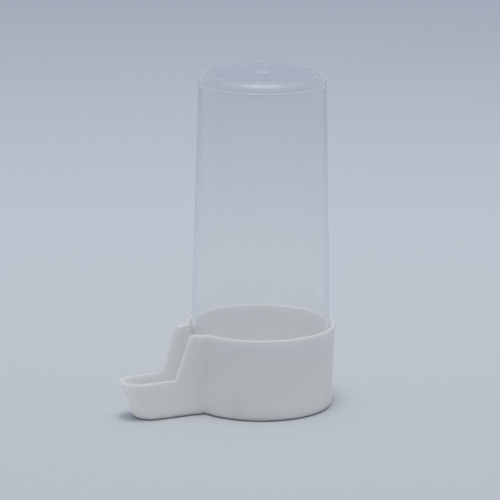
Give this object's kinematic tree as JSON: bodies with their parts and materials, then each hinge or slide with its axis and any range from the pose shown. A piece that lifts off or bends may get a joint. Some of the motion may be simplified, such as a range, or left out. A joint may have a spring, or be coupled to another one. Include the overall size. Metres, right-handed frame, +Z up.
{
  "type": "bird drinker",
  "caption": "Siphon drinker for a bird cage: a clear tapered tumbler stands mouth down in a round white base, and an open spout carries the water through the cage wires to a drinking trough.",
  "frame": {"origin": "on the collar's axis, at the flat underside of the base", "axes": "+Z up along the tube, -Y along the spout towards the bird, +X across the spout"},
  "size_m": [0.06, 0.0915, 0.1357],
  "materials": {
    "white_plastic": "moulded, satin",
    "clear_plastic": "moulded, clear and polished"
  },
  "bodies": {
    "base": {"trough_base": "white_plastic"},
    "reservoir": {"reservoir_tube": "clear_plastic"}
  },
  "joints": [
    {"name": "tube_lift", "type": "slide", "parent": "base", "child": "reservoir", "axis": [0, 0, 1], "range_m": [0, 0.03]}
  ]
}
